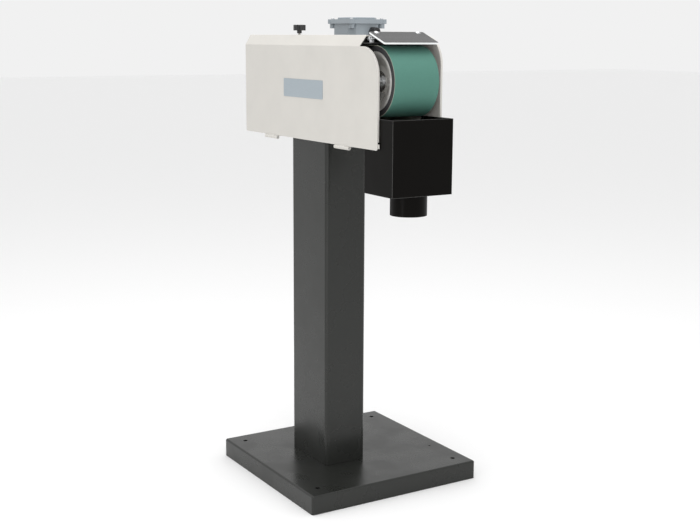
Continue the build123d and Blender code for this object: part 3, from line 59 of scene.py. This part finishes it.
class Nodes:
    """A new material with a Principled shader and short calls to wire it."""

    def __init__(self, name):
        self.material = bpy.data.materials.new(name)
        self.material.use_nodes = True
        self.tree = self.material.node_tree
        self.shader = self.tree.nodes["Principled BSDF"]

    def add(self, kind, **settings):
        node = self.tree.nodes.new(kind)
        for key, value in settings.items():
            if key in node.inputs:
                node.inputs[key].default_value = value
            else:
                setattr(node, key, value)
        return node

    def link(self, out, into):
        self.tree.links.new(out, into)

    def set(self, **values):
        for key, value in values.items():
            self.shader.inputs[key.replace("_", " ")].default_value = value

    def place(self, location=(0, 0, 0), scale=(1, 1, 1)):
        """Object coordinates, moved and scaled."""
        where = self.add("ShaderNodeTexCoord")
        mapping = self.add("ShaderNodeMapping")
        mapping.inputs["Location"].default_value = location
        mapping.inputs["Scale"].default_value = scale
        self.link(where.outputs["Object"], mapping.inputs["Vector"])
        return mapping.outputs["Vector"]

    def noise(self, vector, scale, detail=3.0):
        texture = self.add("ShaderNodeTexNoise", Scale=scale, Detail=detail)
        self.link(vector, texture.inputs["Vector"])
        return texture.outputs["Fac"]

    def ramp(self, factor, low, high, at=(0.35, 0.65)):
        """A colour or grey that goes from low to high as factor crosses at."""
        ramp = self.add("ShaderNodeValToRGB")
        for stop, colour, position in zip(ramp.color_ramp.elements, (low, high), at):
            stop.position = position
            stop.color = (*colour, 1) if hasattr(colour, "__len__") else (colour,) * 3 + (1,)
        self.link(factor, ramp.inputs["Fac"])
        return ramp.outputs["Color"]

    def bump(self, height, strength, distance):
        """A bumpy surface whose sharp edges are shaded as if they were rounded."""
        bump = self.add("ShaderNodeBump", Strength=strength, Distance=distance)
        self.link(height, bump.inputs["Height"])
        edges = self.add("ShaderNodeBevel", samples=EDGE_SAMPLES, Radius=EDGE_RADIUS)
        self.link(edges.outputs["Normal"], bump.inputs["Normal"])
        self.link(bump.outputs["Normal"], self.shader.inputs["Normal"])

    def edge_highlight(self, shade, colour):
        """The given colour, with a painted highlight colour mixed in along sharp edges."""
        edges = self.add("ShaderNodeBevel", samples=EDGE_SAMPLES, Radius=EDGE_HIGHLIGHT_RADIUS)
        plain = self.add("ShaderNodeNewGeometry")
        across = self.add("ShaderNodeVectorMath", operation="DOT_PRODUCT")
        self.link(edges.outputs["Normal"], across.inputs[0])
        self.link(plain.outputs["True Normal"], across.inputs[1])
        # Mask of sharp edges where the painted highlight colour goes.
        edge = self.ramp(across.outputs["Value"], 1.0, 0.0, (0.80, 0.99))
        mixed = self.add("ShaderNodeMix", data_type="RGBA")
        self.link(edge, mixed.inputs["Factor"])
        self.link(shade, mixed.inputs["A"])
        mixed.inputs["B"].default_value = (*colour, 1)
        return mixed.outputs["Result"]

    def keep(self, slot):
        materials[slot] = self.material
        return self.material


def paint(
    slot, colour, roughness, coat=0.0, texture=900, strength=PAINT_BUMP, shine=0.5, edge_highlight=None
):
    """Painted metal with a slight orange peel and uneven gloss; the optional edge colour is a painted
    highlight along its sharp edges.
    """
    m = Nodes(slot)
    m.set(Base_Color=(*colour, 1), Roughness=roughness, Coat_Weight=coat, Coat_Roughness=0.12)
    m.set(Specular_IOR_Level=shine)
    where = m.place()
    fine = m.noise(where, texture)
    m.bump(fine, strength, PAINT_BUMP_DEPTH)
    wide = m.noise(where, 14, 4.0)
    m.link(m.ramp(wide, roughness - 0.05, roughness + 0.07), m.shader.inputs["Roughness"])
    darker = tuple(0.95 * c for c in colour)
    shade = m.ramp(wide, darker, colour, (0.3, 0.7))
    m.link(m.edge_highlight(shade, edge_highlight) if edge_highlight else shade, m.shader.inputs["Base Color"])
    return m.keep(slot)


def steel(slot, colour, roughness, texture=260, stretch=(1, 1, 1)):
    """Bare or plated metal with fine uneven gloss."""
    m = Nodes(slot)
    m.set(Base_Color=(*colour, 1), Metallic=1.0, Roughness=roughness)
    where = m.place(scale=stretch)
    fine = m.noise(where, texture)
    m.link(m.ramp(fine, roughness - 0.08, roughness + 0.10), m.shader.inputs["Roughness"])
    m.bump(fine, 0.08, FINE_BUMP_DEPTH)
    return m.keep(slot)


def plastic(slot, colour, roughness):
    """Moulded plastic or rubber with a faint grain."""
    m = Nodes(slot)
    m.set(Base_Color=(*colour, 1), Roughness=roughness)
    m.bump(m.noise(m.place(), 1400), 0.06, SOFT_BUMP_DEPTH)
    return m.keep(slot)


def turned(slot, colour, roughness, x, z):
    """Metal turned in a lathe about the Y line through x, z: fine rings and a partly dull surface."""
    m = Nodes(slot)
    m.set(Base_Color=(*colour, 1), Metallic=0.6, Roughness=roughness, Anisotropic=0.5)
    where = m.place(location=(-x, 0, -z))
    rings = m.add("ShaderNodeTexWave", wave_type="RINGS", rings_direction="Y")
    rings.inputs["Scale"].default_value = RING_SCALE
    rings.inputs["Distortion"].default_value = 1.2
    rings.inputs["Detail"].default_value = 3.0
    m.link(where, rings.inputs["Vector"])
    m.bump(rings.outputs["Fac"], 0.10, FINE_BUMP_DEPTH)
    film = m.noise(where, 18, 5.0)
    m.link(m.ramp(film, roughness - 0.07, roughness + 0.12), m.shader.inputs["Roughness"])
    dull = tuple(0.78 * c for c in colour)
    m.link(m.ramp(film, dull, colour, (0.25, 0.6)), m.shader.inputs["Base Color"])
    return m.keep(slot)


def grit(slot, colour):
    """Abrasive cloth: sharp fine grain with lighter and darker specks."""
    m = Nodes(slot)
    m.set(Base_Color=(*colour, 1), Roughness=0.78, Specular_IOR_Level=0.35)
    where = m.place()
    grain = m.noise(where, 1500, 2.0)
    light = tuple(min(1.0, 1.25 * c) for c in colour)
    dark = tuple(0.8 * c for c in colour)
    m.link(m.ramp(grain, dark, light, (0.3, 0.7)), m.shader.inputs["Base Color"])
    m.bump(grain, 0.35, PAINT_BUMP_DEPTH)
    return m.keep(slot)


def tinted(slot, colour):
    """Tinted clear plastic sheet."""
    m = Nodes(slot)
    m.set(
        Base_Color=(*colour, 1),
        Roughness=0.06,
        Transmission_Weight=1.0,
        IOR=1.49,
        Specular_IOR_Level=0.3,
    )
    return m.keep(slot)


paint("stand_paint", (0.017, 0.018, 0.016), 0.28, shine=0.38)
# The cover's sharp edges get a lighter painted highlight.
paint("cover_paint", (0.62, 0.60, 0.56), 0.34, coat=0.1, edge_highlight=(0.86, 0.85, 0.82))
# The black paint's sharp edges get a grey painted highlight.
paint(
    "black_paint",
    (0.003, 0.0025, 0.002),
    0.34,
    texture=420,
    strength=0.12,
    shine=0.07,
    edge_highlight=(0.16, 0.16, 0.155),
)
paint("motor_paint", (0.13, 0.17, 0.20), 0.30, coat=0.3, texture=300, strength=0.2)
paint("cast_aluminium", (0.30, 0.34, 0.37), 0.38, coat=0.3, texture=240, strength=0.3)
turned("wheel_aluminium", (0.90, 0.89, 0.86), 0.30, WHEEL_X, WHEEL_Z)
steel("bright_steel", (0.62, 0.62, 0.62), 0.26)
steel("zinc_steel", (0.68, 0.69, 0.70), 0.32)
steel("badge_metal", (0.46, 0.52, 0.56), 0.38, texture=60, stretch=(1, 1, 40))
steel("stator_steel", (0.26, 0.25, 0.24), 0.5)
plastic("wheel_rubber", (0.030, 0.030, 0.032), 0.62)
plastic("black_plastic", (0.018, 0.018, 0.019), 0.38)
plastic("light_plastic", (0.70, 0.70, 0.68), 0.3)
plastic("start_green", (0.02, 0.28, 0.08), 0.3)
plastic("stop_red", (0.52, 0.015, 0.015), 0.3)
grit("abrasive", (0.082, 0.215, 0.172))
tinted("shield_glass", (0.07, 0.065, 0.07))

cloth = Nodes("belt_backing")
cloth.set(Base_Color=(0.62, 0.60, 0.50, 1), Roughness=0.85)
cloth.bump(cloth.noise(cloth.place(scale=(1, 6, 1)), 700), 0.3, SOFT_BUMP_DEPTH)

# Near-white painted highlight for the narrow edge faces of the tinted shield.
shield_highlight = Nodes("shield_edge")
shield_highlight.set(Base_Color=(0.88, 0.90, 0.90, 1), Roughness=0.3)

drive_metal = turned("drive_wheel_metal", (0.66, 0.65, 0.63), 0.34, DRIVE_X, WHEEL_Z)

# ------------------------------------------------------------------ CAD nodes
slot_of = {row["node"]: row["material_slot"] for row in frame["record"]["subparts"]}
for name, node in frame["nodes"].items():
    node.data.materials.clear()
    node.data.materials.append(materials[slot_of[name]])
frame["nodes"]["drive_wheel"].data.materials[0] = drive_metal


def finish_faces(name, material, chosen):
    """Gives the faces of a CAD node for which chosen(centre, normal) is true another material."""
    node = frame["nodes"][name]
    node.data.materials.append(material)
    turn = node.matrix_world.to_3x3()
    for face in node.data.polygons:
        if chosen(node.matrix_world @ face.center, (turn @ face.normal).normalized()):
            face.material_index = len(node.data.materials) - 1


def bare_cloth(centre, normal):
    """The belt's edges and its inside, which faces the line between the two wheels' centres."""
    if abs(normal.y) > 0.7:
        return True
    nearest = min(max(centre.x, DRIVE_X), WHEEL_X)
    return normal.dot(Vector((centre.x - nearest, 0, centre.z - WHEEL_Z))) < 0


def sheet_edge(centre, normal):
    """The narrow faces round the tilted shield, which get a near-white painted highlight."""
    return abs(normal.dot(Vector((sin(SHIELD_TILT), 0, cos(SHIELD_TILT))))) < 0.5


finish_faces("abrasive_belt", cloth.material, bare_cloth)
# The shield's narrow edge faces get the painted highlight material.
finish_faces("eye_shield", shield_highlight.material, sheet_edge)

# ------------------------------------------------------------------ floor, light and camera
floor_material = Nodes("studio_floor")
floor_material.set(Base_Color=(0.93, 0.93, 0.93, 1), Roughness=0.8)
bpy.ops.mesh.primitive_plane_add(size=FLOOR_SIZE, location=(0, 0, 0))
floor = bpy.context.object
floor.name = "studio_floor"
floor.data.materials.append(floor_material.material)

world = bpy.data.worlds.new("studio")
bpy.context.scene.world = world
world.use_nodes = True
sky = world.node_tree.nodes["Background"]
sky.inputs["Color"].default_value = (1, 1, 1, 1)
# The sky lights the scene at one level and is seen directly at another.
ray = world.node_tree.nodes.new("ShaderNodeLightPath")
level = world.node_tree.nodes.new("ShaderNodeMapRange")
level.inputs["To Min"].default_value = SKY_LIGHT
level.inputs["To Max"].default_value = SKY_SEEN
world.node_tree.links.new(ray.outputs["Is Camera Ray"], level.inputs["Value"])
world.node_tree.links.new(level.outputs["Result"], sky.inputs["Strength"])


def area_light(name, place, target, size, power):
    data = bpy.data.lights.new(name, "AREA")
    data.shape = "RECTANGLE"
    data.size, data.size_y = size
    data.energy = power
    light = bpy.data.objects.new(name, data)
    bpy.context.scene.collection.objects.link(light)
    light.location = place
    light.rotation_euler = (Vector(target) - Vector(place)).to_track_quat("-Z", "Y").to_euler()
    return light


area_light("side_light", (3.0, -1.3, 2.0), (0.2, 0, 0.95), (0.8, 1.2), 10)
area_light("strip_light", (0.76, -1.28, 0.50), (0.08, -0.11, 0.5), (0.07, 0.95), 1.6)
area_light("top_light", (0.2, -0.2, 3.4), (0, 0, 1.0), (2.0, 2.0), 42)

yaw = radians(CAMERA_YAW)
pitch = radians(CAMERA_PITCH)
roll = radians(CAMERA_ROLL)
forward = Vector((-sin(yaw) * cos(pitch), cos(yaw) * cos(pitch), -sin(pitch)))
level_right = Vector((cos(yaw), sin(yaw), 0))
level_up = level_right.cross(forward)
right = level_right * cos(roll) + level_up * sin(roll)
up = level_up * cos(roll) - level_right * sin(roll)
camera_data = bpy.data.cameras.new("camera")
camera_data.sensor_width = SENSOR
camera_data.lens = FOCAL_PIXELS * SENSOR / IMAGE_WIDTH
camera_data.shift_x = SHIFT_X
camera_data.shift_y = SHIFT_Y
camera = bpy.data.objects.new("camera", camera_data)
bpy.context.scene.collection.objects.link(camera)
camera.matrix_world = Matrix.Translation(CAMERA_PLACE) @ Matrix(
    ((right.x, up.x, -forward.x), (right.y, up.y, -forward.y), (right.z, up.z, -forward.z))
).to_4x4()
bpy.context.scene.camera = camera
bpy.context.scene.view_settings.view_transform = "Standard"
